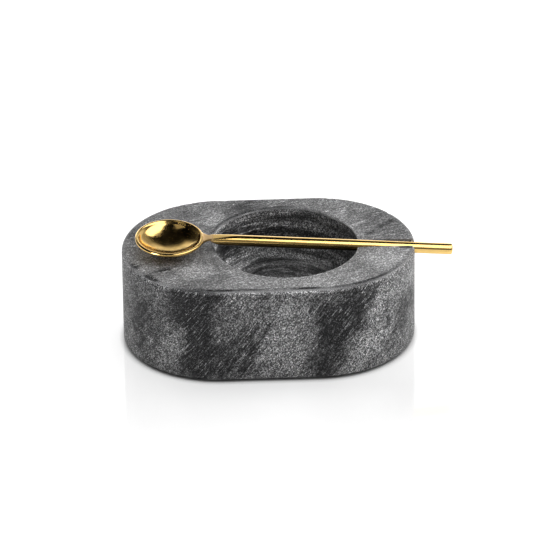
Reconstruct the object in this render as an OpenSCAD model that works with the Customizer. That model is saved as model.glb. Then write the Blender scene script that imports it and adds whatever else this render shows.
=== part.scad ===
// Salt cellar: a solid marble block with a round salt well, and a small brass spoon that
// lies across it with its bowl on the wide land and its handle in a groove.
// The origin is on the table, under the middle of the whole object at rest. +X points
// from the spoon's bowl towards the tip of its handle, +Y to the back and +Z up.

/* [Stone block] */
// Length of the block, end to end
block_l = 120; // [105:1:150]
// Width of the block, which is also the diameter of its round ends
block_w = 81; // [74:1:96]
// Height of the stone, without the pads
block_h = 40.9; // [32:0.1:60]
// Rounding of the edge around the top
top_edge_r = 1.8; // [0.5:0.1:3]
// Rounding of the edge around the underside
base_edge_r = 1; // [0.4:0.1:3]

/* [Salt well] */
// Diameter of the well's wall
well_d = 58.6; // [50:0.2:62]
// Depth of the well below the top
well_h = 19.5; // [12:0.5:28]
// Rounding between the well's wall and its floor
well_floor_r = 6.5; // [2:0.5:10]
// Width of the bevel around the well's mouth
well_rim = 0.5; // [0.3:0.1:1.5]
// How far the well lies to the right of the block's middle
well_x = 7.4; // [2:0.1:10]

/* [Handle groove] */
// Play on each side between the handle and the groove
groove_play = 0.6; // [0.5:0.05:2]
// Depth of the groove below the top
groove_h = 5.4; // [4:0.1:9]
// Width of the bevel along the groove's lips
groove_lip = 0.2; // [0.1:0.1:0.8]
// How far the groove lies in front of the block's middle
groove_front = 2.2; // [-3:0.1:4]

/* [Pads] */
// Diameter of each pad
pad_d = 12; // [8:0.5:18]
// Thickness of each pad
pad_h = 1; // [0.8:0.1:3]
// Bevel around each pad's foot
pad_bevel = 0.3; // [0.1:0.1:0.6]
// From the edge of the stone to the middle of a pad
pad_in = 12; // [10:0.5:20]
// Where the pads sit around the block's round ends, up from the long axis
pad_angle = 45; // [30:1:70]

/* [Spoon bowl] */
// Diameter of the bowl over its lip
bowl_d = 28; // [24:0.2:32]
// Height of the bowl outside, from its underside to the top of its lip
bowl_h = 6.6; // [6:0.1:10]
// Thickness of the bowl's wall
bowl_wall = 1; // [0.8:0.1:1.2]
// Thickness of the rounded lip
lip_d = 1.3; // [1.2:0.05:1.6]

/* [Spoon handle] */
// Length of the rod, from the neck to the tip
rod_l = 99.5; // [90:0.5:120]
// Diameter of the rod
rod_d = 4.6; // [4:0.1:5.6]
// How far the rod's middle lies below the top of the lip, at the neck
rod_drop = 1.8; // [1.2:0.1:2.2]
// Bend of the rod below the plane of the lip
rod_bend = 4.3; // [2:0.1:6]
// Rounding of the rod's tip
tip_r = 0.7; // [0.2:0.1:1.2]
// From the lip to the narrowest place of the neck
neck_out = 2.7; // [2.4:0.1:4]
// Width of the neck where it is narrowest
neck_w = 3; // [2.4:0.1:3.6]
// Thickness of the foot that is brazed to the lip
foot_t = 1.1; // [0.8:0.05:1.4]
// How far the foot lies below the top of the lip
foot_drop = 0.6; // [0.2:0.1:0.8]
// Width of the foot against the lip
foot_w = 7.8; // [5:0.1:9]
// Radius of the hollows that spread the neck into the foot
flare_r = 3.4; // [3:0.1:5]
// Radius of the shoulders where the rod narrows into the neck
shoulder_r = 3.2; // [3:0.1:5]
// Length of the flat that is ground on top of the rod, behind the neck
flat_l = 9.8; // [6:0.1:14]
// Length of the taper under the rod, behind the neck
taper_l = 5.4; // [4:0.1:12]

/* [Spoon at rest] */
// From the block's left end to where the bowl touches the stone
rest_in = 19.8; // [17:0.5:24]
// Turn of the rod on the block, seen from above
rest_turn = 1.5; // [0:0.1:2]
// Lean of the spoon to the front
rest_lean = 3.5; // [0:0.1:6]
// Gap left under the spoon where it rests on the stone
rest_gap = 0.3; // [0.2:0.05:0.5]

/* [Hidden] */
$fn = 96;
// How far every cut runs past the face that it opens
over = 1;
// Each pad's name, with its end of the block and its side
PADS = [["pad_front_left", -1, -1], ["pad_front_right", 1, -1],
        ["pad_back_left", -1, 1], ["pad_back_right", 1, 1]];
// How far the sloping cuts of the neck run on at both ends, as a share of their length
run_on_share = 0.5;

// Stone
end_r = block_w / 2;
end_x = block_l / 2 - end_r;
deck_z = pad_h + block_h;
well_r = well_d / 2;
groove_r = rod_d / 2 + groove_play;

// Bowl: the wall is part of a ball, and the lip is a ring on the middle of the wall
bowl_r = bowl_d / 2;
lip_r = lip_d / 2;
lip_x = bowl_r - lip_r;
lip_drop = bowl_h - lip_r;
ball_r = (pow(lip_x, 2) + pow(lip_drop, 2) - pow(bowl_wall / 2, 2)) / (2 * lip_drop - bowl_wall);
ball_z = ball_r - bowl_h;

// Handle, in the spoon's own frame: the top of the lip is at z = 0 and the bowl's middle at x = 0
rod_r = rod_d / 2;
neck_x = bowl_r + neck_out;
foot_z = -foot_drop - foot_t;
shoulder_x = sqrt(pow(shoulder_r, 2) - pow(neck_w / 2, 2));

// Rest: the ball of the bowl stands on the top, and the underside of the rod on the
// outer end of the groove's floor. From these two the slope of the rod follows.
ball_to_rod = (ball_z + rod_drop) * cos(rod_bend) - neck_x * sin(rod_bend);
rest_x = rest_in - block_l / 2;
rest_run = (block_l / 2 - rest_x) / cos(rest_turn);
rest_fall = ball_r + groove_h;
rod_under = ball_to_rod * cos(rest_lean) + rod_r;
rod_slope = atan2(rest_fall, rest_run) - asin(rod_under / norm([rest_run, rest_fall]));
bowl_tilt = rod_slope - rod_bend;
// The lean turns the bent rod a little by itself
bowl_turn = rest_turn - asin(sin(rod_bend) * sin(rest_lean));
groove_mid = (well_x + well_r + block_l / 2) / 2;
rest_y = -groove_front - (groove_mid - rest_x) * tan(rest_turn) - ball_to_rod * sin(rest_lean);

// The block stands off the origin by half of what the handle overhangs
neck_reach = neck_x * cos(bowl_tilt) - (ball_z + rod_drop) * sin(bowl_tilt);
tip_reach = rod_l * cos(rod_slope) + rod_r * sin(rod_slope);
overhang = rest_x + (neck_reach + tip_reach) * cos(rest_turn) - block_l / 2;
block_x = -overhang / 2;

// A point on the way from one place to another, at a share of the way
function way(from, to, share) = from + (to - from) * share;

// Half of the block's cross-section, from the middle to the rounded side
module side_section() {
    translate([0, base_edge_r])
        square([end_r, block_h - top_edge_r - base_edge_r]);
    square([end_r - base_edge_r, block_h - top_edge_r]);
    translate([0, base_edge_r])
        square([end_r - top_edge_r, block_h - base_edge_r]);
    translate([end_r - base_edge_r, base_edge_r])
        circle(base_edge_r);
    translate([end_r - top_edge_r, block_h - top_edge_r])
        circle(top_edge_r);
}

module block_blank() {
    for (side = [-1, 1])
        translate([side * end_x, 0, 0])
            rotate([0, 0, -side * 90])
                rotate_extrude(angle = 180)
                    side_section();
    rotate([90, 0, 90])
        linear_extrude(height = 2 * end_x, center = true) {
            side_section();
            mirror([1, 0])
                side_section();
        }
}

// The salt well, up from its floor
module well_cut() {
    rotate_extrude() {
        translate([0, well_floor_r])
            square([well_r, well_h - well_floor_r + over]);
        square([well_r - well_floor_r, well_h]);
        translate([well_r - well_floor_r, well_floor_r])
            circle(well_floor_r);
        polygon([
            [0, well_h - well_rim],
            [well_r, well_h - well_rim],
            [well_r + well_rim + over, well_h + over],
            [0, well_h + over]
        ]);
    }
}

// The round-bottomed groove, along +X from the middle of its floor's circle
module groove_cut() {
    lip_z = groove_h - groove_r;
    rotate([90, 0, 90])
        linear_extrude(height = block_l) {
            circle(groove_r);
            translate([-groove_r, 0])
                square([2 * groove_r, lip_z + over]);
            polygon([
                [-groove_r, lip_z - groove_lip],
                [groove_r, lip_z - groove_lip],
                [groove_r + groove_lip + over, lip_z + over],
                [-groove_r - groove_lip - over, lip_z + over]
            ]);
        }
}

module marble_block() {
    color([0.42, 0.43, 0.45])
        translate([block_x, 0, pad_h])
            difference() {
                block_blank();
                translate([well_x, 0, block_h - well_h])
                    well_cut();
                translate([well_x, -groove_front, block_h - groove_h + groove_r])
                    groove_cut();
            }
}

// One pad, stuck under the stone: end is -1 left or 1 right, side is -1 front or 1 back
module pad(end, side) {
    out = end_r - pad_in;
    color([0.12, 0.12, 0.13])
        translate([block_x + end * (end_x + out * cos(pad_angle)), side * out * sin(pad_angle), 0]) {
            cylinder(h = pad_bevel, r1 = pad_d / 2 - pad_bevel, r2 = pad_d / 2);
            translate([0, 0, pad_bevel])
                cylinder(h = pad_h - pad_bevel, d = pad_d);
        }
}

// Puts a piece of the spoon from the spoon's own frame to where it lies on the stone
module at_rest() {
    translate([block_x + rest_x, rest_y, deck_z + rest_gap + ball_r])
        rotate([rest_lean, bowl_tilt, bowl_turn])
            translate([0, 0, -ball_z])
                children();
}

module lip_section() {
    translate([lip_x, -lip_r])
        circle(lip_r);
}

module below_lip() {
    translate([0, -bowl_h])
        square([bowl_r, lip_drop]);
}

module spoon_bowl() {
    color([0.86, 0.68, 0.30])
        at_rest()
            rotate_extrude() {
                intersection() {
                    below_lip();
                    translate([0, ball_z])
                        difference() {
                            circle(ball_r);
                            circle(ball_r - bowl_wall);
                        }
                }
                lip_section();
            }
}

// The bowl's outside as a solid, which the foot of the handle fits
module bowl_outside() {
    rotate_extrude() {
        intersection() {
            below_lip();
            translate([0, ball_z])
                circle(ball_r);
        }
        translate([0, -lip_r])
            square([lip_x, lip_r]);
        lip_section();
    }
}

// Puts what is drawn along the rod's own middle line, from the neck, into the spoon's frame
module along_rod() {
    translate([neck_x, 0, -rod_drop])
        rotate([0, rod_bend, 0])
            children();
}

// The rod with its rounded tip, a little longer than needed at the neck
module rod() {
    rotate([0, 90, 0])
        translate([0, 0, -rod_d])
            rotate_extrude() {
                square([rod_r - tip_r, rod_l + rod_d]);
                square([rod_r, rod_l + rod_d - tip_r]);
                translate([rod_r - tip_r, rod_l + rod_d - tip_r])
                    circle(tip_r);
            }
}

// What the rod keeps when it is seen from above: rounded shoulders, then its full width
module shoulders() {
    linear_extrude(height = 2 * rod_d, center = true) {
        translate([shoulder_x, 0])
            circle(shoulder_r);
        translate([shoulder_x, -shoulder_r])
            square([rod_l, 2 * shoulder_r]);
    }
}

// A sloping cut across the rod, seen from the side, from one place to another
module slope_cut(from, to, away) {
    first = way(from, to, -run_on_share);
    last = way(from, to, 1 + run_on_share);
    rotate([90, 0, 0])
        linear_extrude(height = 2 * rod_d, center = true)
            polygon([first, last, [last[0], last[1] + away], [first[0], last[1] + away]]);
}

// The foot and the neck: a flat plate that spreads towards the lip and runs on into the rod
module foot() {
    translate([0, 0, foot_z])
        linear_extrude(height = foot_t)
            difference() {
                translate([lip_x - lip_r, 0]) {
                    translate([0, -foot_w / 2])
                        square([neck_x - lip_x + lip_r, foot_w]);
                    translate([0, -neck_w / 2])
                        square([neck_x - lip_x + lip_r + shoulder_r, neck_w]);
                }
                for (side = [-1, 1])
                    translate([neck_x, side * (neck_w / 2 + flare_r)])
                        circle(flare_r);
            }
}

module spoon_handle() {
    color([0.84, 0.66, 0.28])
        at_rest()
            difference() {
                union() {
                    foot();
                    along_rod()
                        difference() {
                            intersection() {
                                rod();
                                shoulders();
                            }
                            slope_cut([0, foot_z + foot_t + rod_drop], [flat_l, rod_r], rod_d);
                            slope_cut([0, foot_z + rod_drop], [taper_l, -rod_r], -rod_d);
                        }
                }
                bowl_outside();
            }
}

marble_block();
spoon_bowl();
spoon_handle();
for (p = PADS)
    pad(p[1], p[2]);
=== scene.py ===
import math
import random

import bmesh
import bpy
from bpy.props import FloatProperty, FloatVectorProperty, IntProperty, PointerProperty
from mathutils import Matrix, Vector, noise


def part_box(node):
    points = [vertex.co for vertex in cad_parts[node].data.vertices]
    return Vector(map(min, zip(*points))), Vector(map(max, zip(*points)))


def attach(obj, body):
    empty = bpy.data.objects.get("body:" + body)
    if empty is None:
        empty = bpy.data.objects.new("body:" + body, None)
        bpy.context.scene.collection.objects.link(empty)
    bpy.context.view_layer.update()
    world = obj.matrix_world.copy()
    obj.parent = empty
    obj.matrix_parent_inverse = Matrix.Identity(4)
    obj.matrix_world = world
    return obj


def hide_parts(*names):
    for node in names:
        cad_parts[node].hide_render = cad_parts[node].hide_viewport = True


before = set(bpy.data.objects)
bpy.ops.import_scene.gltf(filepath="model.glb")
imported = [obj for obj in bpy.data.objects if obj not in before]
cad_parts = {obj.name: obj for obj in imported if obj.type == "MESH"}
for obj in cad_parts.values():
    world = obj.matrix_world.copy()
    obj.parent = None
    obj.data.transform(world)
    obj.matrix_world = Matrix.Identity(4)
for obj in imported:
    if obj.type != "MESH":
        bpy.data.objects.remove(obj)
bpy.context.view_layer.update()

bl_info = {
    "name": "Marble salt cellar",
    "version": (1, 0, 0),
    "blender": (4, 5, 0),
    "location": "3D View > Sidebar > Salt cellar",
    "description": "A marble salt cellar with a brass spoon lying across it",
    "category": "Object",
}

STONE_LOW, STONE_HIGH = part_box("marble_block")
BOWL_LOW, BOWL_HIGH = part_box("spoon_bowl")
MM = 0.001

# The stone: its middle, and the middle line of its rounded ends
STONE_X = (STONE_LOW.x + STONE_HIGH.x) / 2
DECK_Z = STONE_HIGH.z
END_R = (STONE_HIGH.y - STONE_LOW.y) / 2
END_X = (STONE_HIGH.x - STONE_LOW.x) / 2 - END_R
WELL_X = STONE_X + 7.4 * MM
WELL_R = 29.3 * MM
WELL_DEPTH = 19.5 * MM
WELL_CORNER = 6.5 * MM
GROOVE_Y = -2.2 * MM
GROOVE_R = 2.9 * MM
GROOVE_DEPTH = 5.4 * MM
# The side on which the well's wall leans outwards, how far and from how deep
FAR_LEFT = Vector((-0.47, 0.88, 0))
FLARE = 2.2 * MM
FLARE_DEPTH = 8 * MM

# The spoon's own frame: the top of the lip is at z = 0, and x runs to the tip of the handle
BOWL_R = 14 * MM
LIP_INNER_R = 13.35 * MM
BOWL_DEPTH = 6.6 * MM
WALL = 1 * MM
BALL_R = 19.5757 * MM
BALL_Z = BALL_R - BOWL_DEPTH
ROD_L = 99.5 * MM
ROD_R = 2.3 * MM
ROD_DROP = 1.8 * MM
ROD_BEND = math.radians(4.3)
NECK_X = 16.7 * MM
NECK_HALF = 1.5 * MM
NECK_TOP = 1.2 * MM
NECK_LOW = 0.1 * MM
SHOULDER_R = 3.2 * MM
FOOT_L = 3.45 * MM
FOOT_HALF = 5.2 * MM
FOOT_FLARE = 3.4 * MM
SPOON_TURN = math.radians(1.2377)
SPOON_TILT = math.radians(0.9177)
SPOON_LEAN = math.radians(3.5)


class StoneSettings(bpy.types.PropertyGroup):
    """Sizes and colours of the marble block"""
    top_edge: FloatProperty(
        name="Top edge", description="Rounding of the edge around the deck",
        default=1.8 * MM, min=0.5 * MM, max=3 * MM, unit="LENGTH", precision=4)
    base_edge: FloatProperty(
        name="Base edge", description="Rounding of the edge around the underside",
        default=1 * MM, min=0.4 * MM, max=3 * MM, unit="LENGTH", precision=4)
    rim_bevel: FloatProperty(
        name="Rim bevel", description="Width of the bevel around the well's mouth",
        default=0.5 * MM, min=0.3 * MM, max=1.5 * MM, unit="LENGTH", precision=4)
    lip_bevel: FloatProperty(
        name="Groove lip", description="Width of the bevel along the groove",
        default=0.2 * MM, min=0.1 * MM, max=0.8 * MM, unit="LENGTH", precision=4)
    tool_marks: FloatProperty(
        name="Tool marks", description="Height of the rings that the cutter left in the well",
        default=0.035 * MM, min=0, max=0.2 * MM, unit="LENGTH", precision=5)
    chips: IntProperty(
        name="Chips", description="How many small chips the edges have",
        default=26, min=0, max=80)
    dark: FloatVectorProperty(
        name="Dark vein", description="Colour of the darkest veins",
        default=(0.010, 0.010, 0.011), min=0, max=1, subtype="COLOR")
    light: FloatVectorProperty(
        name="Light vein", description="Colour of the lightest veins",
        default=(0.320, 0.320, 0.322), min=0, max=1, subtype="COLOR")
    crystal: FloatProperty(
        name="Crystal", description="Width of one crystal of the marble",
        default=0.25 * MM, min=0.2 * MM, max=2 * MM, unit="LENGTH", precision=5)
    gloss: FloatProperty(
        name="Roughness", description="Roughness of the honed faces",
        default=0.42, min=0.1, max=1, subtype="FACTOR")


class SpoonSettings(bpy.types.PropertyGroup):
    """Finish of the brass spoon"""
    lip: FloatProperty(
        name="Lip", description="Thickness of the rounded lip of the bowl",
        default=1.5 * MM, min=1.2 * MM, max=1.6 * MM, unit="LENGTH", precision=4)
    tip_round: FloatProperty(
        name="Tip rounding", description="Rounding of the tip of the handle",
        default=0.7 * MM, min=0.2 * MM, max=1.2 * MM, unit="LENGTH", precision=4)
    unevenness: FloatProperty(
        name="Unevenness", description="How far the hand-made bowl departs from a true ball",
        default=0.035 * MM, min=0, max=0.2 * MM, unit="LENGTH", precision=5)
    colour: FloatVectorProperty(
        name="Brass", description="Colour of the polished brass",
        default=(0.85, 0.575, 0.20), min=0, max=1, subtype="COLOR")
    stain: FloatVectorProperty(
        name="Stain", description="Colour of the brass where it has browned",
        default=(0.56, 0.33, 0.10), min=0, max=1, subtype="COLOR")
    bare: FloatVectorProperty(
        name="Bare brass", description="Colour of the unpolished brass at the neck",
        default=(0.80, 0.54, 0.27), min=0, max=1, subtype="COLOR")
    gloss: FloatProperty(
        name="Roughness", description="Roughness of the polished brass",
        default=0.09, min=0.02, max=0.6, subtype="FACTOR")


class PadSettings(bpy.types.PropertyGroup):
    """Finish of the pads under the stone"""
    colour: FloatVectorProperty(
        name="Rubber", description="Colour of the rubber",
        default=(0.018, 0.018, 0.020), min=0, max=1, subtype="COLOR")
    gloss: FloatProperty(
        name="Roughness", description="Roughness of the rubber",
        default=0.65, min=0.1, max=1, subtype="FACTOR")


class StudioSettings(bpy.types.PropertyGroup):
    """The pale studio around the object"""
    camera_turn: FloatProperty(
        name="Camera turn", description="Heading of the camera from +Y towards +X",
        default=math.radians(2.11), subtype="ANGLE", unit="ROTATION")
    camera_down: FloatProperty(
        name="Camera down", description="How far the camera looks down",
        default=math.radians(28.34), subtype="ANGLE", unit="ROTATION")
    camera_roll: FloatProperty(
        name="Camera roll", description="Roll of the camera about its own axis",
        default=math.radians(-0.67), subtype="ANGLE", unit="ROTATION")
    camera_away: FloatProperty(
        name="Camera distance", description="From the aimed point to the camera",
        default=2.3, min=0.5, unit="LENGTH")
    aim: FloatVectorProperty(
        name="Aim", description="The point in the middle of the picture",
        default=(-0.0067, 0.0120, 0.0231), subtype="TRANSLATION", unit="LENGTH")
    floor_colour: FloatVectorProperty(
        name="Floor", description="Colour of the floor",
        default=(0.50, 0.50, 0.50), min=0, max=1, subtype="COLOR")
    floor_glow: FloatProperty(
        name="Floor glow", description="How much white the camera sees in the floor besides its own light",
        default=0.40, min=0, max=1)
    lamp_light: FloatProperty(
        name="Softbox", description="Brightness of the main softbox, where 1 looks white",
        default=2.7, min=0)
    side_light: FloatProperty(
        name="Left softbox", description="Brightness of the dim softbox on the left",
        default=0.36, min=0)
    top_light: FloatProperty(
        name="Top light", description="Brightness of the lamp overhead, where 1 looks white",
        default=2.0, min=0)
    fill_light: FloatProperty(
        name="Fill", description="Brightness of the room around the table",
        default=0.34, min=0)


# Meshes

def new_piece(name, points, faces):
    """Makes a mesh object from points and faces"""
    mesh = bpy.data.meshes.new(name)
    mesh.from_pydata([tuple(p) for p in points], [], faces)
    mesh.validate()
    mesh.update()
    piece = bpy.data.objects.new(name, mesh)
    bpy.context.scene.collection.objects.link(piece)
    return piece


def skin(rows, columns, low_point=None, high_point=None):
    """Faces over rows of a closed ring of points, closed at both ends by a face or around a point"""
    faces = []
    for row in range(rows - 1):
        for column in range(columns):
            after = (column + 1) % columns
            faces.append((row * columns + column, row * columns + after,
                          (row + 1) * columns + after, (row + 1) * columns + column))
    last = (rows - 1) * columns
    if low_point is None:
        faces.append(tuple(reversed(range(columns))))
    else:
        faces += [(low_point, (column + 1) % columns, column) for column in range(columns)]
    if high_point is None:
        faces.append(tuple(range(last, last + columns)))
    else:
        faces += [(high_point, last + column, last + (column + 1) % columns)
                  for column in range(columns)]
    return faces


def outline():
    """The block's outline from above: each point's place on the middle line, and its way outwards"""
    arc_steps, straight_steps = 220, 78
    places = []
    for side in (1, -1):
        for step in range(arc_steps):
            turn = math.pi * (step / arc_steps - 0.5)
            away = Vector((side * math.cos(turn), side * math.sin(turn), 0))
            places.append((Vector((side * END_X, 0, 0)), away))
        for step in range(straight_steps):
            share = step / straight_steps
            places.append((Vector((side * END_X * (1 - 2 * share), 0, 0)), Vector((0, side, 0))))
    return places


def arc(steps):
    """Angles of a quarter turn, both ends among them"""
    return [math.pi / 2 * step / steps for step in range(steps + 1)]


def chip_spots(count, seed):
    """Small chips along the deck's outer edge: where, how wide and how deep"""
    chance = random.Random(seed)
    places = outline()
    spots = []
    for _ in range(count):
        foot, away = places[chance.randrange(len(places))]
        width = chance.uniform(0.5, 1.5) * MM
        spot = foot + away * (END_R - chance.uniform(0.2, 0.9) * MM) + Vector((0, 0, DECK_Z - STONE_LOW.z))
        spot -= Vector((0, 0, chance.uniform(0, 0.7) * MM))
        spots.append((spot, width, width * chance.uniform(0.12, 0.3)))
    return spots


def chipped(point, spots):
    """How far a point of the stone lies below its true place because of the chips"""
    depth = 0
    for spot, width, most in spots:
        away = (point - spot).length / width
        if away < 1:
            depth = max(depth, most * (1 - away * away))
    return depth


def stone_blank(settings):
    """The honed block before the well and the groove are cut"""
    height = STONE_HIGH.z - STONE_LOW.z
    top, base = settings.top_edge, settings.base_edge
    side_steps = 26
    # Each row's inset, its height, and how far its faces look outwards and upwards
    rows = [(base * (1 - math.sin(a)), base * (1 - math.cos(a)), math.sin(a), -math.cos(a)) for a in arc(8)]
    for step in range(1, side_steps):
        rows.append((0, base + (height - top - base) * step / side_steps, 1, 0))
    rows += [(top * (1 - math.cos(a)), height - top + top * math.sin(a), math.cos(a), math.sin(a))
             for a in arc(14)]
    rows.append((top + 1.2 * MM, height, 0, 0))
    spots = chip_spots(settings.chips, seed=4)
    places = outline()
    points = []
    for inset, z, out, up in rows:
        for foot, away in places:
            point = foot + away * (END_R - inset) + Vector((0, 0, z))
            # The faces wave a little, the rounded edges are rougher, and the deck is flat but for its chips
            sink = 0.05 * MM * (1 + noise.noise(point * 45))
            sink += 0.05 * MM * abs(up * out) * 2 * (1 + noise.noise(point * 420))
            sink += chipped(point, spots) if z > height / 2 else 0
            if up == 1 or (out == 0 and up == 0):
                sink = chipped(point, spots)
            points.append(point - (away * out + Vector((0, 0, up))) * sink)
    blank = new_piece("stone", points, skin(len(rows), len(places)))
    blank.data.transform(Matrix.Translation((STONE_X, 0, STONE_LOW.z)))
    return blank


def lathe(profile, steps, shape):
    """Turns a profile of (radius, height) about the z axis, and moves each point by a shape's rule"""
    points = []
    for radius, z in profile:
        for step in range(steps):
            turn = 2 * math.pi * step / steps
            points.append(shape(Vector((radius * math.cos(turn), radius * math.sin(turn), z))))
    return points


def edge_wear(point, even, fine, nicks, coarse, least):
    """How far an edge has worn back at a point: a little all along it, and more in a few nicks"""
    deep = max(0, noise.noise(point * coarse) - least)
    return even * MM * (1 + noise.noise(point * fine)) + nicks * MM * deep


def well_cutter(settings):
    """What the cutter takes out for the well, up from its floor, with the rings of the tool"""
    marks = settings.tool_marks
    profile = []
    flat = WELL_R - WELL_CORNER
    floor_steps = 58
    for step in range(1, floor_steps):
        radius = flat * step / floor_steps
        ring = math.sin(radius / MM * 4.1) + 0.6 * math.sin(radius / MM * 9.7 + 1)
        profile.append((radius, marks * ring))
    for a in arc(18):
        profile.append((flat + WELL_CORNER * math.sin(a), WELL_CORNER * (1 - math.cos(a))))
    rim = settings.rim_bevel
    wall_steps = 30
    wall = WELL_DEPTH - WELL_CORNER - rim
    for step in range(1, wall_steps):
        z = WELL_CORNER + wall * step / wall_steps
        ring = math.sin(z / MM * 5.3) + 0.5 * math.sin(z / MM * 13)
        profile.append((WELL_R + marks * ring, z))
    # The bevel runs on past the deck, so that the cut leaves no skin
    for step in range(7):
        share = step / 3
        profile.append((WELL_R + rim * share ** 1.3, WELL_DEPTH - rim + rim * share))
    steps = 320

    def worn(point):
        near_rim = max(0, 1 - abs(point.z - WELL_DEPTH) / (1.4 * MM))
        wear = edge_wear(point, 0.06, 330, 0.35, 260, 0.42)
        flat_way = Vector((point.x, point.y, 0)).normalized()
        far_left = max(0, flat_way.dot(FAR_LEFT) - 0.4) / 0.6
        lean = max(0, 1 - (WELL_DEPTH - point.z) / FLARE_DEPTH)
        flare = FLARE * far_left * (2 - far_left) * lean
        return point + flat_way * (wear * near_rim + flare)

    points = lathe(profile, steps, worn)
    points.append(Vector((0, 0, 0)))
    cutter = new_piece("well_cutter", points, skin(len(profile), steps, low_point=len(points) - 1))
    cutter.data.transform(Matrix.Translation((WELL_X, 0, DECK_Z - WELL_DEPTH)))
    return cutter


def groove_cutter(settings):
    """What is taken out for the handle, from the well to past the stone's right end"""
    middle = GROOVE_R
    lip = settings.lip_bevel
    ring = [(GROOVE_R * math.sin(a), middle - GROOVE_R * math.cos(a)) for a in arc(20)]
    ring += [(GROOVE_R, middle + (GROOVE_DEPTH - lip - middle) * step / 5) for step in range(1, 6)]
    ring += [(GROOVE_R + lip, GROOVE_DEPTH), (GROOVE_R + 3 * lip, GROOVE_DEPTH + 2 * lip),
             (GROOVE_R + 3 * lip, GROOVE_DEPTH + 1.5 * MM)]
    ring += [(-y, z) for y, z in reversed(ring[1:])]
    end = STONE_HIGH.x + 2 * MM
    steps = int((end - WELL_X) / (0.45 * MM))
    points = []
    for step in range(steps + 1):
        x = WELL_X + (end - WELL_X) * step / steps
        for y, z in ring:
            point = Vector((x, y, z))
            near_lip = max(0, 1 - abs(z - GROOVE_DEPTH) / (1.2 * MM))
            exit_wear = 0.5 * MM * max(0, 1 - abs(x - STONE_HIGH.x) / (1.6 * MM)) ** 2
            wear = edge_wear(point, 0.05, 350, 0.3, 240, 0.4)
            shift = math.copysign(wear * near_lip + exit_wear * (0.3 + 0.7 * near_lip), y)
            points.append(point + Vector((0, shift if abs(y) > 0 else 0, 0)))
    cutter = new_piece("groove_cutter", points, skin(steps + 1, len(ring)))
    cutter.data.transform(Matrix.Translation((0, GROOVE_Y, DECK_Z - GROOVE_DEPTH)))
    return cutter


def turn_outwards(piece):
    """Makes every face of a closed mesh look outwards"""
    shell = bmesh.new()
    shell.from_mesh(piece.data)
    bmesh.ops.recalc_face_normals(shell, faces=shell.faces)
    shell.to_mesh(piece.data)
    shell.free()


def cut_away(piece, cutters):
    """Cuts each cutter out of the piece and removes the cutters"""
    for cutter in cutters:
        turn_outwards(cutter)
        cut = piece.modifiers.new("cut", "BOOLEAN")
        cut.operation = "DIFFERENCE"
        cut.solver = "EXACT"
        cut.object = cutter
    found = piece.evaluated_get(bpy.context.evaluated_depsgraph_get())
    finished = bpy.data.meshes.new_from_object(found)
    piece.modifiers.clear()
    piece.data = finished
    for cutter in cutters:
        mesh = cutter.data
        bpy.data.objects.remove(cutter)
        bpy.data.meshes.remove(mesh)


def smooth_shading(piece, angle):
    """Smooth faces with sharp edges kept, and flat faces that stay flat"""
    piece.data.shade_smooth()
    piece.data.set_sharp_from_angle(angle=math.radians(angle))
    even = piece.modifiers.new("even shading", "WEIGHTED_NORMAL")
    even.keep_sharp = True
    even.weight = 60


def spoon_place():
    """From the spoon's own frame to where it lies on the stone"""
    turn = (Matrix.Rotation(SPOON_TURN, 4, "Z") @ Matrix.Rotation(SPOON_TILT, 4, "Y")
            @ Matrix.Rotation(SPOON_LEAN, 4, "X"))
    lip_middle = Vector((0, 0, -0.65 * MM - BALL_Z))
    shift = turn @ lip_middle
    middle = (BOWL_LOW + BOWL_HIGH) / 2
    ball = Vector((middle.x - shift.x, middle.y - shift.y, BOWL_LOW.z + BALL_R))
    return Matrix.Translation(ball) @ turn @ Matrix.Translation((0, 0, -BALL_Z))


def bowl_mesh(settings):
    """The bowl: a dished wall that swells into a rounded lip"""
    lip_r = settings.lip / 2
    lip_x = BOWL_R - lip_r
    middle_r = BALL_R - WALL / 2
    lip_angle = math.asin(lip_x / middle_r)
    steps = 44
    # The angle over which the wall swells into the lip
    swell = 1.9 * MM / middle_r

    def half_wall(angle):
        share = max(0, 1 - (lip_angle - angle) / swell)
        return WALL / 2 + (lip_r - WALL / 2) * share * share * (3 - 2 * share)

    def wall_point(angle, side):
        radius = middle_r + side * half_wall(angle)
        return radius * math.sin(angle), BALL_Z - radius * math.cos(angle)

    angles = [lip_angle * (1 - (1 - step / steps) ** 1.4) for step in range(1, steps + 1)]
    lip_z = BALL_Z - middle_r * math.cos(lip_angle)
    turns = [lip_angle - math.pi / 2 + math.pi * step / 20 for step in range(1, 20)]
    round_lip = [(lip_x + lip_r * math.cos(turn), lip_z + lip_r * math.sin(turn)) for turn in turns]
    profile = [wall_point(a, 1) for a in angles] + round_lip + [wall_point(a, -1) for a in reversed(angles)]
    around = 192

    def hand_made(point):
        away = (point - Vector((0, 0, BALL_Z))).normalized()
        uneven = noise.noise(point * 210) + 0.5 * noise.noise(point * 480)
        return point + away * settings.unevenness * uneven

    points = lathe(profile, around, hand_made)
    points.append(hand_made(Vector((0, 0, -BOWL_DEPTH))))
    points.append(hand_made(Vector((0, 0, -BOWL_DEPTH + WALL))))
    return points, skin(len(profile), around, low_point=len(points) - 2, high_point=len(points) - 1)


def handle_place():
    """From the handle's own frame, which starts at the neck, to the spoon's"""
    return Matrix.Translation((NECK_X, 0, -ROD_DROP)) @ Matrix.Rotation(ROD_BEND, 4, "Y")


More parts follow.
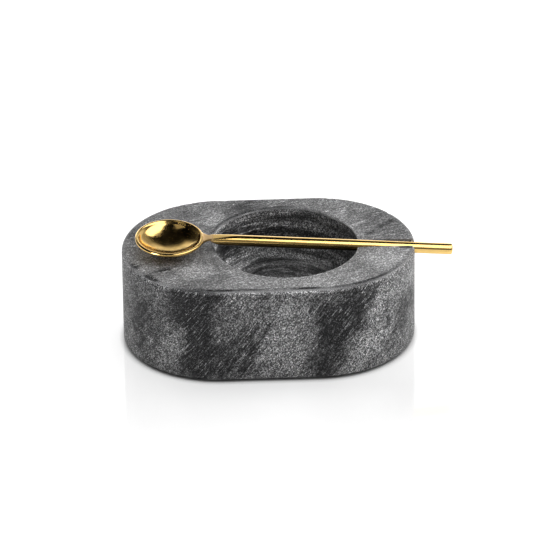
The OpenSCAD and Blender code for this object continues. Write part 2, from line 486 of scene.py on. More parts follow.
def handle_section(s):
    """Half width, top, bottom and round radius of the handle at a place along it, from the neck"""
    if s < 0:
        # The foot spreads towards the lip, level with it, and thickens where it is brazed on
        slope = math.tan(ROD_BEND)
        reach = min(-s, 0.97 * FOOT_FLARE)
        half = min(NECK_HALF + 5 * MM * (1 - math.sqrt(1 - (reach / FOOT_FLARE) ** 2)), FOOT_HALF)
        fillet = max(0, (-s - 1.6 * MM) / (1.4 * MM)) ** 2 * 0.25 * MM
        return half, NECK_TOP + slope * s + fillet, NECK_LOW + slope * s - 0.4 * fillet, None
    # Behind the neck the flats run out into the round rod
    middle = math.sqrt(SHOULDER_R ** 2 - NECK_HALF ** 2)
    half = math.sqrt(SHOULDER_R ** 2 - (middle - s) ** 2) if s < middle else SHOULDER_R * 1.4
    return half, NECK_TOP + 1.1 * s / 9.8, NECK_LOW - 2.4 * s / 5.4, ROD_R


def handle_mesh(settings):
    """The handle: a flat foot that narrows to the neck and swells into the round rod"""
    tip = settings.tip_round
    stops = [-FOOT_L + FOOT_L * (step / 26) for step in range(26)]
    stops += [0.05 * MM * step ** 1.6 for step in range(1, 28)]
    while stops[-1] < ROD_L - tip - 1.2 * MM:
        stops.append(stops[-1] + (0.5 if stops[-1] < 22 * MM else 1.1) * MM)
    sections = [(s, 1) for s in stops]
    sections += [(ROD_L - tip + tip * math.sin(a), 1 - tip / ROD_R * (1 - math.cos(a))) for a in arc(9)]
    around = 72
    # The power that joins the round and the flats, where a higher one leaves a sharper edge between them
    sharp = 18
    points = []
    for s, share in sections:
        half, top, bottom, radius = handle_section(s)
        low = max(bottom, -ROD_R) if radius else bottom
        high = min(top, ROD_R) if radius else top
        middle = (low + high) / 2
        width = min(half, ROD_R) if radius else half
        for step in range(around):
            turn = 2 * math.pi * step / around
            way = Vector((width * math.cos(turn), (high - low) / 2 * math.sin(turn))).normalized()
            reach = (half / max(abs(way.x), 1e-6)) ** -sharp
            if way.y > 1e-6:
                reach += ((top - middle) / way.y) ** -sharp
            elif way.y < -1e-6:
                reach += ((middle - bottom) / -way.y) ** -sharp
            if radius:
                reach += (math.sqrt(radius ** 2 - (middle * way.x) ** 2) - middle * way.y) ** -sharp
            distance = reach ** (-1 / sharp) * share
            y, z = way.x * distance, middle * (1 if share == 1 else 0) + way.y * distance
            # The foot follows the round of the lip that it is brazed to
            bend_in = 0
            if s < -1.2 * MM:
                follow = min(1, (-s - 1.2 * MM) / (1.9 * MM))
                bend_in = (math.sqrt(max(0, LIP_INNER_R ** 2 - y * y)) - LIP_INNER_R) * follow
            point = Vector((s + bend_in, y, z))
            wave = 0.012 * MM * noise.noise(Vector((s * 90, y * 300, z * 300)))
            points.append(point + Vector((0, way.x, way.y)) * wave)
    place = handle_place()
    return [place @ point for point in points], skin(len(sections), around)


# Materials

class Nodes:
    """A node tree, with a short call for each kind of node that the finishes are made of"""

    def __init__(self, tree):
        self.tree = tree

    def add(self, kind, sockets=None, **options):
        """Adds a shader node with its options, and fills its sockets with values or nodes' outputs"""
        made = self.tree.nodes.new("ShaderNode" + kind)
        for option, value in options.items():
            setattr(made, option, value)
        for socket, value in (sockets or {}).items():
            if isinstance(value, bpy.types.NodeSocket):
                self.tree.links.new(value, made.inputs[socket])
            else:
                made.inputs[socket].default_value = value
        return made

    def maths(self, operation, *values):
        """A Math node's result"""
        return self.add("Math", dict(enumerate(values)), operation=operation).outputs[0]

    def plus(self, total, *more):
        """The sum of the values"""
        for value in more:
            total = self.maths("ADD", total, value)
        return total

    def minus(self, first, second):
        """The first value less the second"""
        return self.maths("SUBTRACT", first, second)

    def times(self, product, *more):
        """The product of the values"""
        for value in more:
            product = self.maths("MULTIPLY", product, value)
        return product

    def diagonal(self, first, second):
        """The length of the diagonal over two lengths"""
        squares = (self.maths("POWER", length, 2.0) for length in (first, second))
        return self.maths("SQRT", self.plus(*squares))

    def measure(self, operation, *places):
        """A number from one or two places: a length, a distance or how far one lies along the other"""
        return self.add("VectorMath", dict(enumerate(places)), operation=operation).outputs["Value"]

    def spread(self, value, low, high, to_low=0.0, to_high=1.0, kind="LINEAR"):
        """Maps a range of a value to another range, and holds it there"""
        return self.add("MapRange", {0: value, 1: low, 2: high, 3: to_low, 4: to_high},
                        interpolation_type=kind).outputs[0]

    def band(self, value, middle, outer, inner, kind="LINEAR"):
        """1 where a value is within the inner distance of the middle, and 0 past the outer one"""
        return self.spread(self.maths("ABSOLUTE", self.minus(value, middle)), outer, inner, kind=kind)

    def patch(self, tone, away, outer, inner, change):
        """A tone with a soft patch in it that is lighter by the change"""
        return self.plus(tone, self.spread(away, outer, inner, 0, change, "SMOOTHSTEP"))

    def parts(self, place):
        """The x, y and z of a place"""
        return self.add("SeparateXYZ", {0: place}).outputs[:3]

    def joined(self, x, y, z):
        """A place from its three parts"""
        return self.add("CombineXYZ", {0: x, 1: y, 2: z}).outputs[0]

    def stretched(self, parts, scales):
        """A place from three parts, each times its own scale"""
        return self.joined(*(self.times(part, scale) for part, scale in zip(parts, scales)))

    def oval(self, place, middle, lean, half):
        """How far a place lies from the middle of an oval that leans by degrees, where its edge is at 1"""
        inside = self.add("Mapping", {
            "Vector": place, "Location": middle, "Rotation": [math.radians(angle) for angle in lean],
            "Scale": half}, vector_type="TEXTURE").outputs[0]
        return self.measure("LENGTH", inside)

    def cloud(self, place, scale, detail=2.0, rough=0.5, twist=0.0):
        """Soft noise at a place"""
        return self.add("TexNoise", {"Vector": place, "Scale": scale, "Detail": detail, "Roughness": rough,
                                     "Distortion": twist}).outputs[0]

    def drawn_cloud(self, parts, scales, detail, rough, twist=0.0):
        """Noise that is drawn out by a scale of its own along each of three ways"""
        return self.cloud(self.stretched(parts, scales), 1, detail, rough, twist)

    def tones(self, value, stops):
        """Bands of grey: a ramp through (place, tone) stops"""
        ramp = self.add("ValToRGB", {0: value})
        ramp.color_ramp.interpolation = "EASE"
        marks = ramp.color_ramp.elements
        while len(marks) > 1:
            marks.remove(marks[-1])
        for number, (where, tone) in enumerate(stops):
            mark = marks[0] if number == 0 else marks.new(where)
            mark.position = where
            mark.color = (tone, tone, tone, 1)
        return self.add("SeparateColor", {0: ramp.outputs[0]}).outputs[0]

    def mix(self, share, first, second):
        """A mix of two values"""
        return self.add("Mix", {0: share, 2: first, 3: second}, data_type="FLOAT").outputs[0]

    def mix_colours(self, share, first, second):
        """A mix of two colours, each of them a node's output or three numbers"""
        first, second = (c if isinstance(c, bpy.types.NodeSocket) else (*c, 1) for c in (first, second))
        return self.add("Mix", {0: share, 6: first, 7: second}, data_type="RGBA").outputs[2]

    def dress(self, shader, colour, rough, height, strength, distance):
        """Gives a shader its colour, its roughness and a bump"""
        bump = self.add("Bump", {"Strength": strength, "Distance": distance, "Height": height})
        for socket, value in (("Base Color", colour), ("Roughness", rough), ("Normal", bump.outputs[0])):
            self.tree.links.new(value, shader.inputs[socket])


def new_material(name):
    """A new material, its shader, its nodes, and the place of a point on the object in metres"""
    material = bpy.data.materials.new(name)
    material.use_nodes = True
    nodes = Nodes(material.node_tree)
    shader = nodes.tree.nodes["Principled BSDF"]
    return material, shader, nodes, nodes.add("TexCoord").outputs["Object"]


# Veins of the marble as seen from the front: x and z of the middle in millimetres, half the width, half the
# length, how far the vein leans from upright, and how much lighter it is
VEINS = [(-38.3, 36, 12.5, 12, 4, -0.80), (-38.6, 22, 11.5, 16, 0, -0.78), (-40.5, 6, 9.5, 9, 12, -0.46),
         (-51, 13, 7, 17, 44, 0.42), (-46.5, 22, 3, 9, 18, 0.16), (-57, 37, 8, 8, 20, 0.10),
         (-63.5, 24, 4, 14, 5, -0.22), (-52, 28, 4.5, 6, 35, -0.24), (-30, 32, 4, 9, 40, 0.12),
         (-21, 16, 7, 15, 45, -0.32), (-18, 8, 5, 6, 30, -0.20), (-25, 26, 6, 12, 45, -0.06),
         (-9, 13, 8, 15, 40, 0.38), (-1, 31, 10, 16, 25, 0.32), (5, 12, 7, 14, 30, 0.20),
         (19.5, 25, 12.5, 28, 18, -0.52), (12, 6, 8, 8, 30, -0.22), (32, 22, 6, 22, 27, 0.55),
         (36, 33, 5, 8, 20, 0.26), (39.5, 19, 3.8, 12, 0, -0.34), (33, 13, 5, 11, 28, 0.26),
         (-26, 5.5, 11, 4.5, 0, -0.26), (-68, 14, 2.8, 14, 0, -0.34)]
# Lighter and darker places of the deck: x and y in millimetres, width and how much lighter
DECK_SPOTS = [(-29, 22, 8, 0.34), (-37, -22, 10, 0.46), (38, -14, 12, 0.40), (-58, -27, 5, -0.30),
              (-62, 12, 9, -0.22), (24, 26, 6, 0.12), (46, 10, 9, -0.12), (-40, 26, 8, -0.16),
              (3, 35, 12, -0.08), (13, -37, 9, 0.16), (-49, -23, 5, -0.16), (-62, -14, 5, -0.20),
              (36, 20, 6, -0.14), (-14, 33, 8, -0.12), (26, -31, 7, 0.12)]
# Narrow marks on the deck: x and y in millimetres, half the width, half the length, how far the mark is
# turned from the y axis, and how much lighter it is
DECK_MARKS = [(24.3, 26.6, 0.8, 3.8, -23, 1.10), (30.3, 15.6, 1.0, 4.8, -57, 0.60),
              (40.9, 14, 1.7, 6, -39, -0.30), (34.2, 7.2, 1.6, 5, -46, -0.26),
              (48.3, -6.5, 1.3, 4, -90, -0.45), (-63.2, -16, 1.9, 2.8, 40, -0.55),
              (-56.7, -27, 1.8, 5, 45, -0.75), (-50.5, -19.5, 1.5, 8, -67, -0.34)]
# How often each mark of the sanding repeats in a metre, across the strokes, into the stone and along them
WISP_SCALES = (520, 140, 110)
STREAK_SCALES = (3300, 900, 420)
SCRATCH_SCALES = (2300, 500, 150)
# The same for the rings in the well: outwards, round it by the radian, and up its wall
RING_SCALES = (1300, 2.2, 1500)
BROAD_RING_SCALES = (330, 1.1, 260)
# How fine the crystals are across the strokes, into the stone and along them, where 1 is their set width
CRYSTAL_SHARES = (1, 0.8, 0.58)


def marble(settings):
    """Honed dark marble: soft bands, crystals, fine sanding scratches, a smoother well darkened partly by
    painted shade, and painted highlights and dark lines at the edges
    """
    material, shader, nodes, place = new_material("honed_marble")
    x, y, z = nodes.parts(place)
    on_deck = nodes.spread(z, DECK_Z - 0.9 * MM, DECK_Z - 0.2 * MM)

    # The stone was sanded aslant on the sides and nearly lengthwise on the deck
    across = nodes.mix(on_deck, nodes.measure("DOT_PRODUCT", place, (0.80, 0, -0.60)),
                       nodes.measure("DOT_PRODUCT", place, (-0.29, 0.96, 0)))
    lengthwise = nodes.mix(on_deck, nodes.measure("DOT_PRODUCT", place, (0.60, 0, 0.80)),
                           nodes.measure("DOT_PRODUCT", place, (0.96, 0.29, 0)))
    sanded = (across, nodes.mix(on_deck, y, z), lengthwise)

    # Veins run slantwise through the block, bent and frayed by clouds
    bend = nodes.maths("MULTIPLY_ADD", nodes.cloud(place, 45, 3, 0.55), 0.020, -0.010)
    fray = nodes.maths("MULTIPLY_ADD", nodes.cloud(place, 160, 4, 0.7), 0.016, -0.008)
    through = nodes.maths("MULTIPLY_ADD", y, 0.3, -0.3 * STONE_LOW.y)
    bent_x = nodes.plus(nodes.minus(x, through), bend, fray)
    bent = nodes.joined(bent_x, 0.0, nodes.plus(z, fray))
    tone = nodes.spread(nodes.cloud(place, 60, 4, 0.65), 0.34, 0.66, 0.38, 0.62)
    wisps = nodes.drawn_cloud(sanded, WISP_SCALES, 4, 0.6, 0.3)
    tone = nodes.plus(tone, nodes.spread(wisps, 0.34, 0.66, -0.18, 0.18))
    for vein_x, vein_z, wide, tall, lean, change in VEINS:
        away = nodes.oval(bent, (vein_x * MM, 0, vein_z * MM), (0, lean, 0), (wide * MM, 1, tall * MM))
        tone = nodes.patch(tone, away, 1.27, 0.13, change * 1.2)

    # The deck is honed to a lighter, more even face, and painted light makes it lightest in front
    deck_base_and_painted_light = nodes.spread(y, -30 * MM, 15 * MM, 0.395, 0.207)
    deck_tone = nodes.maths("MULTIPLY_ADD", tone, 0.34, deck_base_and_painted_light)
    for spot_x, spot_y, wide, change in DECK_SPOTS:
        away = nodes.measure("DISTANCE", place, (spot_x * MM, spot_y * MM, DECK_Z))
        ragged = nodes.plus(away, nodes.times(fray, 0.9))
        deck_tone = nodes.patch(deck_tone, ragged, wide * MM, 0.2 * wide * MM, change)
    shift = nodes.joined(nodes.times(fray, 0.14), nodes.times(fray, -0.10), 0.0)
    frayed = nodes.add("VectorMath", {0: place, 1: shift}, operation="ADD").outputs["Vector"]
    for mark_x, mark_y, wide, long, turn, change in DECK_MARKS:
        middle = (mark_x * MM, mark_y * MM, DECK_Z)
        away = nodes.oval(frayed, middle, (0, 0, turn), (wide * MM, long * MM, 1))
        deck_tone = nodes.patch(deck_tone, away, 1.2, 0.3, change)
    tone = nodes.mix(on_deck, tone, deck_tone)

    # Crystals, streaks and scratches
    cells = nodes.add("TexVoronoi", {"Vector": nodes.stretched(sanded, CRYSTAL_SHARES),
                                     "Scale": 1 / settings.crystal})
    cell_tone = nodes.add("SeparateColor", {0: cells.outputs["Color"]}).outputs[0]
    grain = nodes.maths("POWER", cell_tone, 3.4)
    streak = nodes.spread(nodes.drawn_cloud(sanded, STREAK_SCALES, 2, 0.6), 0.32, 0.68, 0.62, 1.38)
    scratch = nodes.times(nodes.spread(nodes.cloud(place, 110, 2, 0.5), 0.42, 0.60, 0.25, 1),
                          nodes.spread(nodes.drawn_cloud(sanded, SCRATCH_SCALES, 1, 0.5, 0.3), 0.56, 0.66))

    # The well: rings instead of scratches, and a smoother face, darker partly by its finish and partly by
    # painted shade that is deepest towards its floor, with painted light on its left wall, which faces the
    # lamp
    floor_z = DECK_Z - WELL_DEPTH
    from_x = nodes.minus(x, WELL_X)
    radius = nodes.diagonal(from_x, y)
    far_way = nodes.plus(nodes.times(from_x, FAR_LEFT.x), nodes.times(y, FAR_LEFT.y))
    far = nodes.spread(nodes.maths("DIVIDE", far_way, radius), 0.4, 1.0)
    flare = nodes.times(far, nodes.minus(2.0, far), FLARE)
    from_rim = nodes.minus(nodes.minus(radius, WELL_R + settings.rim_bevel), flare)
    inside = nodes.times(nodes.spread(from_rim, 0.3 * MM, 0.1 * MM),
                         nodes.spread(z, DECK_Z - 0.1 * MM, DECK_Z - 0.4 * MM))
    # Painted shade towards the well's floor and painted light on its left wall
    painted_well_shade_and_light = nodes.plus(nodes.spread(z, floor_z, floor_z + 9 * MM, 0.25, 0.43),
                           nodes.spread(from_x, -WELL_R, -0.30 * WELL_R, 0.80, 0, "SMOOTHSTEP"))
    turned = (radius, nodes.maths("ARCTAN2", y, from_x), z)
    rings = nodes.spread(nodes.drawn_cloud(turned, RING_SCALES, 2, 0.6, 0.2), 0.50, 0.66)
    broad_rings = nodes.spread(nodes.drawn_cloud(turned, BROAD_RING_SCALES, 2, 0.5), 0.38, 0.62, 0.40, 1.75)
    lines = nodes.mix(inside, scratch, rings)

    # A painted highlight: a paler ring where the well's floor turns up into its wall
    painted_corner_highlight = nodes.times(
        nodes.band(radius, WELL_R - 4.8 * MM, 1.3 * MM, 0.5 * MM),
        nodes.spread(z, floor_z + 4 * MM, floor_z + 2 * MM),
        nodes.spread(nodes.cloud(place, 70, 2, 0.5), 0.38, 0.56, 0.25, 1))

    # Along the deck's front a thin broken dark line is painted, the dark reflection of the rounded edge,
    # with a painted highlight on the rounding below it
    off_middle = nodes.minus(nodes.maths("ABSOLUTE", nodes.minus(x, STONE_X)), END_X)
    inset = nodes.minus(END_R, nodes.diagonal(nodes.maths("MAXIMUM", off_middle, 0.0), y))
    painted_edge_reflection = nodes.times(
        nodes.band(inset, 1.6 * MM, 0.95 * MM, 0.4 * MM),
        nodes.spread(z, DECK_Z - 0.6 * MM, DECK_Z - 0.4 * MM),
        nodes.spread(nodes.cloud(place, 75, 3, 0.6), 0.36, 0.56, 0.15, 1),
        nodes.spread(x, -42 * MM, -33 * MM, 0.10, 1),
        nodes.spread(y, -14 * MM, -26 * MM))
    painted_edge_highlight = nodes.times(
        nodes.band(z, DECK_Z - 1.15 * MM, 0.9 * MM, 0.2 * MM),
        nodes.spread(inset, 1.5 * MM, 0.9 * MM))
    # Painted highlight on the well's rim in front and on the right, where its bevel catches the light, and
    # painted shadow on the bevel where the wall leans out
    painted_rim_highlight = nodes.times(
        nodes.band(from_rim, 0, 0.5 * MM, 0.25 * MM),
        nodes.spread(z, DECK_Z - 0.7 * MM, DECK_Z - 0.5 * MM),
        nodes.spread(far_way, 8 * MM, 2 * MM))
    painted_rim_shadow = nodes.times(far, on_deck, nodes.band(from_rim, 0.3 * MM, 0.7 * MM, 0.3 * MM))

    # All of these together, where 0 is the dark vein's colour and 1 the light one's
    tone = nodes.mix(nodes.times(inside, 0.7), tone, 0.5)
    # Painted reflection and shadow: the dark front edge line and the dark line at the well's rim darken the
    # tone
    for mark, share in ((painted_edge_reflection, 0.95), (painted_rim_shadow, 0.9)):
        tone = nodes.times(tone, nodes.minus(1.0, nodes.times(mark, share)))
    tone = nodes.maths("MAXIMUM", tone, nodes.maths("MULTIPLY_ADD", grain, 0.09, 0.005))
    # Painted highlight on the rounding of the front edge
    tone = nodes.plus(tone, nodes.times(painted_edge_highlight, nodes.maths("MULTIPLY_ADD", tone, 0.6, 0.12)))
    # Painted highlights on the well's rim and at the foot of its wall, then the real scratches and rings
    for mark, share in ((painted_rim_highlight, 0.30), (painted_corner_highlight, 0.45), (lines, 0.75)):
        tone = nodes.maths("MULTIPLY_ADD", mark, share, tone)
    tint = nodes.mix_colours(tone, settings.dark, settings.light)

    # Each crystal is lighter or darker, less so on the deck, and the well takes its own tone with its
    # painted shade and light
    depth = nodes.times(
        nodes.spread(grain, 0.0, 1.0, 0.25, 3.6),
        nodes.maths("MULTIPLY_ADD", inside, nodes.minus(painted_well_shade_and_light, 1.0), 1.0),
        nodes.mix(inside, streak, broad_rings))
    depth = nodes.mix(nodes.times(on_deck, 0.30), depth, 1.05)
    colour = nodes.add("Mix", {0: 1.0, 6: tint, 7: nodes.joined(depth, depth, depth)},
                       data_type="RGBA", blend_type="MULTIPLY").outputs[2]
    rough = nodes.plus(nodes.spread(grain, 0.1, 0.7, settings.gloss + 0.06, settings.gloss - 0.06),
                       nodes.times(inside, -0.06))
    height = nodes.plus(grain, nodes.times(lines, -0.8))
    nodes.dress(shader, colour, rough, height, 0.6, 0.07 * MM)
    shader.inputs["IOR"].default_value = 1.5
    shader.inputs["Specular IOR Level"].default_value = 0.18
    return material


def brass(name, settings, rod):
    """Polished brass with a little stain, fine polishing lines, a duller neck, and on the rod a painted
    shade under it
    """
    material, shader, nodes, place = new_material(name)
    x, y, z = nodes.parts(place)
    # The rod was polished along its length, and the bowl from front to back. The bowl is more stained
    stain_most, smear_most, dull_share = (0.20, 0.06, 1) if rod else (0.55, 0.12, 0.6)
    line_scales, line_bump = ((120, 4200, 4200), 0.12) if rod else ((2600, 420, 2600), 0.04)

    neck = spoon_place() @ Vector((NECK_X - 1.2 * MM, 0, -1 * MM))
    at_neck = nodes.times(nodes.band(x, neck.x, 3.4 * MM, 1.4 * MM, "SMOOTHSTEP"), dull_share)
    stain = nodes.spread(nodes.cloud(place, 170, 3, 0.6), 0.50, 0.80, 0, stain_most)
    colour = nodes.mix_colours(stain, settings.colour, settings.stain)
    colour = nodes.mix_colours(nodes.times(at_neck, 0.8), colour, settings.bare)
    if rod:
        # Painted shade: the underside is darkened as far as the rod lies over the stone, standing in for
        # the shadow and dark reflections under it
        turned = spoon_place() @ handle_place()
        up = turned.to_3x3() @ Vector((0, 0, 1))
        height = nodes.minus(nodes.measure("DOT_PRODUCT", place, tuple(up)), up.dot(turned.translation))
        painted_underside_shade = nodes.times(nodes.spread(height, 0.04 * ROD_R, -0.34 * ROD_R),
                              nodes.spread(x, STONE_HIGH.x + 1 * MM, STONE_HIGH.x - 3 * MM))
        colour = nodes.mix_colours(painted_underside_shade, colour, [0.15 * c for c in settings.stain])

    lines = nodes.drawn_cloud((x, y, z), line_scales, 2, 0.6)
    smear = nodes.spread(nodes.cloud(place, 320, 3, 0.6), 0.40, 0.72, 0, smear_most)
    rough = nodes.plus(smear, settings.gloss, nodes.times(at_neck, 0.17), nodes.times(lines, 0.05))
    nodes.dress(shader, colour, rough, lines, line_bump, 0.02 * MM)
    shader.inputs["Metallic"].default_value = 1.0
    return material


def rubber(settings):
    """Matte rubber with a fine pebbled skin and a little dust"""
    material, shader, nodes, place = new_material("pad_rubber")
    pebbles = nodes.add("TexVoronoi", {"Vector": place, "Scale": 2600.0}).outputs["Distance"]
    dust = nodes.spread(nodes.cloud(place, 240, 4, 0.6), 0.45, 0.75, 0, 0.5)
    colour = nodes.mix_colours(dust, settings.colour, [2.6 * c for c in settings.colour])
    rough = nodes.spread(pebbles, 0, 0.8, settings.gloss - 0.08, settings.gloss + 0.1)
    nodes.dress(shader, colour, rough, pebbles, 0.4, 0.04 * MM)
    return material


# Studio

# The floor's side, and the distances from its middle between which it turns white
FLOOR_SIDE = 6.0
FLOOR_FADE = (0.16, 0.50)
# Painted shade in front: around a place there the floor's glow stays low, and it lightens sooner between
# these distances from it, up to this much white
FRONT_PLACE = (0, -0.11, 0)
FRONT_FADE = (0.06, 0.16)
FRONT_WHITE = 0.70
# What polished metal sees of the room behind the table: the height of the view, and how bright
BACKDROP = [(0.0, 0.95), (0.24, 0.78), (0.37, 0.40), (0.44, 0.34), (0.50, 0.34), (0.58, 0.25), (0.66, 0.07),
            (0.77, 0.010), (0.87, 0.002), (1.0, 0.001)]
# The same for the room in front of the table
FRONT = [(0.0, 0.005), (0.12, 0.02), (0.25, 0.08), (0.45, 0.11), (0.58, 0.10), (0.70, 0.03), (0.86, 0.003),
         (1.0, 0.003)]
# What a brightness of 1 in these two stands for
ROOM_LIGHT = 2.7
# A narrow lamp in front on the left: the level way across it, and its brightness
STRIP_ACROSS = (0.669, -0.743, 0)
STRIP_LIGHT = 3.0
# The lamps: name, middle, two sides, shape, turn about the vertical in degrees, and its light's setting
LAMPS = [("right_softbox", (0.425, -0.175, 0.57), (0.62, 1.04), "ELLIPSE", -22, "lamp_light"),
         ("left_softbox", (-0.337, -0.247, 0.57), (0.31, 0.34), "RECTANGLE", 0, "side_light"),
         ("top_light", (0.05, -0.05, 1.5), (1.3, 1.3), "RECTANGLE", 0, "top_light")]
# The camera's lens and sensor, in millimetres
LENS = 371.8
SENSOR = 36


def floor_material(settings):
    """Pale glossy floor that the camera sees as white where nothing stands close to it"""
    material, shader, nodes, place = new_material("studio_floor")
    shader.inputs["Base Color"].default_value = (*settings.floor_colour, 1)
    shader.inputs["Roughness"].default_value = 0.05
    shader.inputs["IOR"].default_value = 1.5
    shader.inputs["Specular IOR Level"].default_value = 1.0
    x, y, _ = nodes.parts(place)
    # Painted shade and light: close to the object the floor's glow is less on the right, which makes it a
    # little greyer there, and more in front, which makes it lighter
    painted_near_glow = nodes.plus(nodes.spread(x, 0, 0.06, settings.floor_glow, 0.78 * settings.floor_glow),
                      nodes.spread(y, -0.046, -0.080, 0, 0.11))
    around = nodes.spread(nodes.measure("LENGTH", place), *FLOOR_FADE, painted_near_glow, 1.0, "SMOOTHSTEP")
    painted_front_glow = nodes.spread(nodes.measure("DISTANCE", place, FRONT_PLACE), *FRONT_FADE, painted_near_glow, FRONT_WHITE,
                            "SMOOTHSTEP")
    # The glow stops where the object stands, which leaves the dark line under it
    open_sky = nodes.add("AmbientOcclusion", {"Distance": 3 * MM}, samples=8).outputs["AO"]
    path = nodes.add("LightPath").outputs
    seen = nodes.maths("MAXIMUM", path["Is Camera Ray"],
                       nodes.maths("MAXIMUM", path["Is Glossy Ray"], path["Is Transmission Ray"]))
    glow = nodes.times(nodes.maths("MAXIMUM", around, painted_front_glow), seen, nodes.spread(open_sky, 0.35, 0.95))
    light = nodes.add("Emission", {"Color": (1, 1, 1, 1), "Strength": glow})
    both = nodes.add("AddShader", {0: shader.outputs[0], 1: light.outputs[0]})
    out = next(node for node in nodes.tree.nodes if node.type == "OUTPUT_MATERIAL")
    nodes.tree.links.new(both.outputs[0], out.inputs["Surface"])
    return material


def studio_world(settings):
    """White where the camera looks, a backdrop that fades upwards for metal, and a soft room elsewhere"""
    world = bpy.data.worlds.new("studio")
    world.use_nodes = True
    world.node_tree.nodes.clear()
    nodes = Nodes(world.node_tree)
    way = nodes.add("TexCoord").outputs["Generated"]
    x, y, z = nodes.parts(way)
    height = nodes.spread(z, 0.0, 1.0)
    behind = nodes.spread(y, -0.15, 0.35, 0, 1, "SMOOTHSTEP")
    # Both fade towards the room's left and right sides
    backdrop = nodes.times(
        nodes.tones(height, BACKDROP), behind,
        nodes.spread(x, -0.50, -0.38, 0.03, 1, "SMOOTHSTEP"),
        nodes.spread(x, 0.28, 0.50, 1, 0.35, "SMOOTHSTEP"))
    front = nodes.times(
        nodes.tones(height, FRONT), nodes.minus(1.0, behind),
        nodes.spread(x, -0.10, 0.06, 0.02, 1, "SMOOTHSTEP"),
        nodes.spread(x, 0.24, 0.36, 1, 0.45, "SMOOTHSTEP"))
    # The lip of the bowl shows the narrow lamp as a short highlight
    strip = nodes.times(
        nodes.band(nodes.measure("DOT_PRODUCT", way, STRIP_ACROSS), 0, 0.20, 0.15),
        nodes.spread(y, -0.20, -0.35), nodes.spread(x, -0.20, -0.35), nodes.spread(z, 0.52, 0.40))
    front = nodes.maths("MULTIPLY_ADD", strip, STRIP_LIGHT, front)
    path = nodes.add("LightPath").outputs
    mirrored = nodes.times(nodes.plus(backdrop, front), path["Is Glossy Ray"], ROOM_LIGHT)
    white = nodes.maths("MAXIMUM", path["Is Camera Ray"], path["Is Transmission Ray"])
    strength = nodes.plus(nodes.maths("MAXIMUM", mirrored, white),
                          nodes.times(path["Is Diffuse Ray"], settings.fill_light))
    room = nodes.add("Background", {"Color": (1, 1, 1, 1), "Strength": strength})
    out = nodes.add("OutputWorld")
    nodes.tree.links.new(room.outputs[0], out.inputs["Surface"])
    bpy.context.scene.world = world


def studio_lamps(settings):
    """Flat lamps that look straight down, and that the camera doesn't see"""
    for name, place, (wide, deep), shape, turn, light in LAMPS:
        lamp = bpy.data.lights.new(name, "AREA")
        lamp.shape = shape
        lamp.size = wide
        lamp.size_y = deep
        area = wide * deep * (math.pi / 4 if shape == "ELLIPSE" else 1)
        lamp.energy = getattr(settings, light) * math.pi * area
        holder = bpy.data.objects.new(name, lamp)
        holder.location = place
        holder.rotation_euler.z = math.radians(turn)
        holder.visible_camera = False
        # The brass doesn't mirror the lamp overhead
        holder.visible_glossy = name != "top_light"
        bpy.context.scene.collection.objects.link(holder)


def studio_camera(settings):
    """The camera, at the place that gives the object's true outline in the picture"""
    turn, down, roll = settings.camera_turn, settings.camera_down, settings.camera_roll
    ahead = Vector((math.sin(turn) * math.cos(down), math.cos(turn) * math.cos(down), -math.sin(down)))
    level = Vector((math.cos(turn), -math.sin(turn), 0))
    upright = level.cross(ahead)
    right = level * math.cos(roll) + upright * math.sin(roll)
    up = upright * math.cos(roll) - level * math.sin(roll)
    place = Vector(settings.aim) - ahead * settings.camera_away
    lens = bpy.data.cameras.new("camera")
    lens.sensor_width = SENSOR
    lens.lens = LENS
    lens.clip_end = 100
    camera = bpy.data.objects.new("camera", lens)
    turned = Matrix((right, up, -ahead)).transposed()
    camera.matrix_world = Matrix.Translation(place) @ turned.to_4x4()
    bpy.context.scene.collection.objects.link(camera)
    bpy.context.scene.camera = camera


# Operators

class BuildStone(bpy.types.Operator):
    """Make the marble block with its well and groove"""
    bl_idname = "salt_cellar.stone"
    bl_label = "Marble block"

    def execute(self, context):
        settings = context.scene.cellar_stone
        stone = stone_blank(settings)
        turn_outwards(stone)
        uncut = len(stone.data.polygons)
        cut_away(stone, [well_cutter(settings), groove_cutter(settings)])
        if len(stone.data.polygons) <= uncut:
            raise RuntimeError("the well or the groove was not cut")
        stone.data.materials.clear()
        stone.data.materials.append(marble(settings))
        smooth_shading(stone, angle=35)
        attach(stone, "cellar")
        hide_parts("marble_block")
        return {"FINISHED"}


class BuildSpoon(bpy.types.Operator):
    """Make the spoon's bowl and handle"""
    bl_idname = "salt_cellar.spoon"
    bl_label = "Brass spoon"

    def execute(self, context):
        settings = context.scene.cellar_spoon
        made = (("bowl", "spoon_bowl", bowl_mesh, False), ("handle", "spoon_handle", handle_mesh, True))
        for name, node, shape, rod in made:
            points, faces = shape(settings)
            piece = new_piece(name, points, faces)
            piece.data.transform(spoon_place())
            turn_outwards(piece)
            piece.data.materials.append(brass(name + "_brass", settings, rod))
            smooth_shading(piece, angle=50)
            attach(piece, "spoon")
            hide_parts(node)
        return {"FINISHED"}


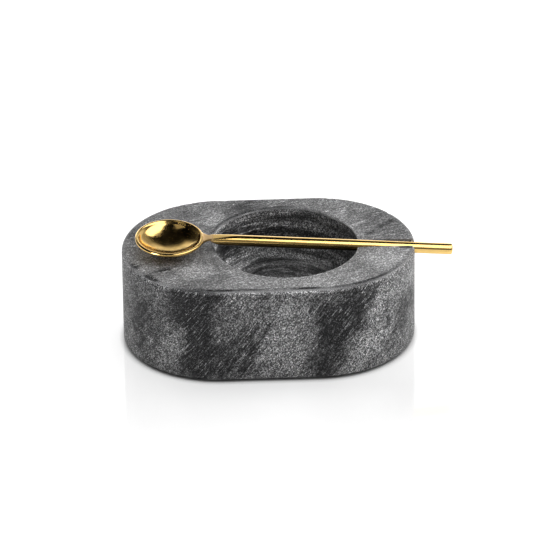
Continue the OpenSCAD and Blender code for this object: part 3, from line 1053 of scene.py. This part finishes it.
class FinishPads(bpy.types.Operator):
    """Give the pads under the stone their rubber"""
    bl_idname = "salt_cellar.pads"
    bl_label = "Rubber pads"

    def execute(self, context):
        material = rubber(context.scene.cellar_pads)
        for name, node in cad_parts.items():
            if name.startswith("pad_"):
                for slot in node.material_slots:
                    slot.material = material
        return {"FINISHED"}


class SetStage(bpy.types.Operator):
    """Set the floor, the background, the lamps and the camera"""
    bl_idname = "salt_cellar.stage"
    bl_label = "Pale studio"

    def execute(self, context):
        settings = context.scene.cellar_studio
        context.scene.view_settings.view_transform = "Standard"
        half = FLOOR_SIDE / 2
        floor = new_piece("floor", [(-half, -half, 0), (half, -half, 0), (half, half, 0), (-half, half, 0)],
                          [(0, 1, 2, 3)])
        floor.data.materials.append(floor_material(settings))
        studio_world(settings)
        studio_lamps(settings)
        studio_camera(settings)
        return {"FINISHED"}


class CellarPanel(bpy.types.Panel):
    """Lists the pieces of the salt cellar with their settings"""
    bl_idname = "VIEW3D_PT_salt_cellar"
    bl_label = "Salt cellar"
    bl_space_type = "VIEW_3D"
    bl_region_type = "UI"
    bl_category = "Salt cellar"

    def draw(self, context):
        for operator, group, name in PIECES:
            box = self.layout.box()
            box.operator(operator.bl_idname)
            for setting in group.__annotations__:
                box.prop(getattr(context.scene, name), setting)


# Each operator with its settings and the name that a scene has them under
PIECES = [(BuildStone, StoneSettings, "cellar_stone"), (BuildSpoon, SpoonSettings, "cellar_spoon"),
          (FinishPads, PadSettings, "cellar_pads"), (SetStage, StudioSettings, "cellar_studio")]
CLASSES = [*(group for operator, group, name in PIECES), *(operator for operator, group, name in PIECES),
           CellarPanel]


def register():
    for made in CLASSES:
        bpy.utils.register_class(made)
    for operator, group, name in PIECES:
        setattr(bpy.types.Scene, name, PointerProperty(type=group))


def unregister():
    for operator, group, name in PIECES:
        delattr(bpy.types.Scene, name)
    for made in reversed(CLASSES):
        bpy.utils.unregister_class(made)


def main():
    register()
    bpy.ops.salt_cellar.stone()
    bpy.ops.salt_cellar.spoon()
    bpy.ops.salt_cellar.pads()
    bpy.ops.salt_cellar.stage()


if __name__ == "__main__":
    main()
